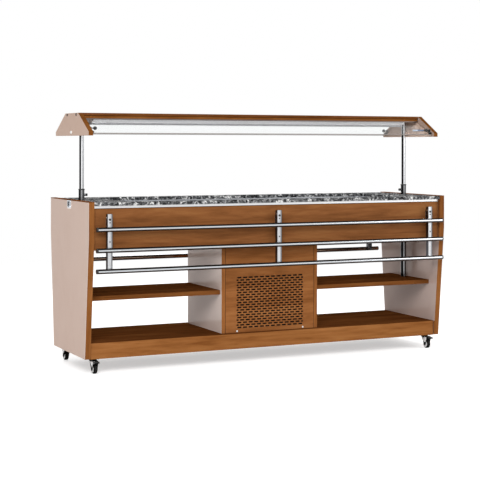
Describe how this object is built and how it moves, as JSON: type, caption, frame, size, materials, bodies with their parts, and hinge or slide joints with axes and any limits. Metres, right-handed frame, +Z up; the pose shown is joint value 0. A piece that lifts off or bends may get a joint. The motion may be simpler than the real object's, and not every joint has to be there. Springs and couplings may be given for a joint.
{
  "type": "mobile salad bar",
  "caption": "Mobile refrigerated salad bar with a sunken well in a stone counter, a glass canopy on telescopic posts, folding rail tray slides, open shelves and swivel casters.",
  "frame": {"origin": "on the floor under the middle of the cabinet", "axes": "+Z up, +X to the right along the length, -Y towards the side seen in the picture"},
  "size_m": [2.1718, 0.7416, 1.3589],
  "materials": {
    "laminate": "gloss",
    "wood": "satin",
    "wood_dark": "satin",
    "granite": "polished",
    "steel": "satin",
    "bright_trim": "satin",
    "insulation": "matte",
    "case_sheet": "satin",
    "machine_black": "satin",
    "machine": "satin",
    "black_plastic": "satin",
    "white_plastic": "satin",
    "glass": "gloss",
    "bronze": "satin",
    "tyre": "matte"
  },
  "bodies": {
    "cabinet": {"side_panel_left": "laminate", "side_panel_right": "laminate", "deck": "wood_dark", "plinths": "wood", "shelf_left": "wood_dark", "shelf_right": "wood_dark", "box_walls": "laminate", "box_front": "wood", "box_rear": "wood", "fascias": "wood", "counter": "granite", "trims": "bright_trim", "well_liner": "steel", "well_case": "insulation", "guide_tubes": "steel", "collars": "black_plastic", "slide_brackets": "steel", "cups": "steel", "condensing_unit": "machine", "power_inlet": "black_plastic", "panel_screws": "steel", "caster_plates": "machine_black"},
    "canopy": {"posts": "steel", "canopy_end_left": "laminate", "canopy_end_right": "laminate", "canopy_top": "wood", "canopy_rails": "wood", "light_housing": "case_sheet", "light_lens": "white_plastic", "canopy_bolts": "machine_black", "post_caps": "white_plastic", "glass_front": "glass", "glass_rear": "glass", "glass_channels": "bronze", "glass_clips": "black_plastic", "holder_bars": "steel"},
    "tray_slide_front": {"slide_arms_front": "steel", "slide_rails_front": "steel"},
    "tray_slide_rear": {"slide_arms_rear": "steel", "slide_rails_rear": "steel"},
    "post_knob_left": {"post_knob_left": "black_plastic"},
    "post_knob_right": {"post_knob_right": "black_plastic"},
    "glass_knob_fl": {"glass_knob_fl": "black_plastic"},
    "glass_knob_fr": {"glass_knob_fr": "black_plastic"},
    "glass_knob_rl": {"glass_knob_rl": "black_plastic"},
    "glass_knob_rr": {"glass_knob_rr": "black_plastic"},
    "fork_fl": {"fork_fl": "machine_black"},
    "wheel_fl": {"wheel_fl": "tyre"},
    "brake_fl": {"brake_fl": "machine_black"},
    "fork_fr": {"fork_fr": "machine_black"},
    "wheel_fr": {"wheel_fr": "tyre"},
    "brake_fr": {"brake_fr": "machine_black"},
    "fork_rl": {"fork_rl": "machine_black"},
    "wheel_rl": {"wheel_rl": "tyre"},
    "brake_rl": {"brake_rl": "machine_black"},
    "fork_rr": {"fork_rr": "machine_black"},
    "wheel_rr": {"wheel_rr": "tyre"},
    "brake_rr": {"brake_rr": "machine_black"}
  },
  "joints": [
    {"name": "canopy_slide", "type": "slide", "parent": "cabinet", "child": "canopy", "axis": [0, 0, 1], "range_m": [-0.28, 0]},
    {"name": "tray_slide_front_fold", "type": "hinge", "parent": "cabinet", "child": "tray_slide_front", "pos_m": [0, -0.33705, 0.813], "axis": [-1, 0, 0], "range_deg": [0, 90]},
    {"name": "tray_slide_rear_fold", "type": "hinge", "parent": "cabinet", "child": "tray_slide_rear", "pos_m": [0, 0.33705, 0.813], "axis": [1, 0, 0], "range_deg": [0, 90]},
    {"name": "post_knob_left_turn", "type": "hinge", "parent": "cabinet", "child": "post_knob_left", "pos_m": [-1.016, 0, 0.921], "axis": [1, 0, 0], "range_deg": [0, 360]},
    {"name": "post_knob_right_turn", "type": "hinge", "parent": "cabinet", "child": "post_knob_right", "pos_m": [1.016, 0, 0.921], "axis": [-1, 0, 0], "range_deg": [0, 360]},
    {"name": "glass_knob_fl_turn", "type": "hinge", "parent": "canopy", "child": "glass_knob_fl", "pos_m": [-1.047, -0.238, 1.2764], "axis": [1, 0, 0], "range_deg": [0, 360]},
    {"name": "glass_knob_fr_turn", "type": "hinge", "parent": "canopy", "child": "glass_knob_fr", "pos_m": [1.047, -0.238, 1.2764], "axis": [-1, 0, 0], "range_deg": [0, 360]},
    {"name": "glass_knob_rl_turn", "type": "hinge", "parent": "canopy", "child": "glass_knob_rl", "pos_m": [-1.047, 0.238, 1.2764], "axis": [1, 0, 0], "range_deg": [0, 360]},
    {"name": "glass_knob_rr_turn", "type": "hinge", "parent": "canopy", "child": "glass_knob_rr", "pos_m": [1.047, 0.238, 1.2764], "axis": [-1, 0, 0], "range_deg": [0, 360]},
    {"name": "caster_fl_swivel", "type": "hinge", "parent": "cabinet", "child": "fork_fl", "pos_m": [-1.025, -0.217, 0.0671], "axis": [0, 0, 1], "continuous": true},
    {"name": "wheel_fl_spin", "type": "hinge", "parent": "fork_fl", "child": "wheel_fl", "pos_m": [-1.025, -0.241, 0.025], "axis": [1, 0, 0], "continuous": true},
    {"name": "brake_fl_press", "type": "hinge", "parent": "fork_fl", "child": "brake_fl", "pos_m": [-1.025, -0.257, 0.0597], "axis": [1, 0, 0], "range_deg": [0, 12]},
    {"name": "caster_fr_swivel", "type": "hinge", "parent": "cabinet", "child": "fork_fr", "pos_m": [1.025, -0.217, 0.0671], "axis": [0, 0, 1], "continuous": true},
    {"name": "wheel_fr_spin", "type": "hinge", "parent": "fork_fr", "child": "wheel_fr", "pos_m": [1.025, -0.241, 0.025], "axis": [1, 0, 0], "continuous": true},
    {"name": "brake_fr_press", "type": "hinge", "parent": "fork_fr", "child": "brake_fr", "pos_m": [1.025, -0.257, 0.0597], "axis": [1, 0, 0], "range_deg": [0, 12]},
    {"name": "caster_rl_swivel", "type": "hinge", "parent": "cabinet", "child": "fork_rl", "pos_m": [-1.025, 0.217, 0.0671], "axis": [0, 0, 1], "continuous": true},
    {"name": "wheel_rl_spin", "type": "hinge", "parent": "fork_rl", "child": "wheel_rl", "pos_m": [-1.025, 0.241, 0.025], "axis": [1, 0, 0], "continuous": true},
    {"name": "brake_rl_press", "type": "hinge", "parent": "fork_rl", "child": "brake_rl", "pos_m": [-1.025, 0.257, 0.0597], "axis": [-1, 0, 0], "range_deg": [0, 12]},
    {"name": "caster_rr_swivel", "type": "hinge", "parent": "cabinet", "child": "fork_rr", "pos_m": [1.025, 0.217, 0.0671], "axis": [0, 0, 1], "continuous": true},
    {"name": "wheel_rr_spin", "type": "hinge", "parent": "fork_rr", "child": "wheel_rr", "pos_m": [1.025, 0.241, 0.025], "axis": [1, 0, 0], "continuous": true},
    {"name": "brake_rr_press", "type": "hinge", "parent": "fork_rr", "child": "brake_rr", "pos_m": [1.025, 0.257, 0.0597], "axis": [-1, 0, 0], "range_deg": [0, 12]}
  ]
}
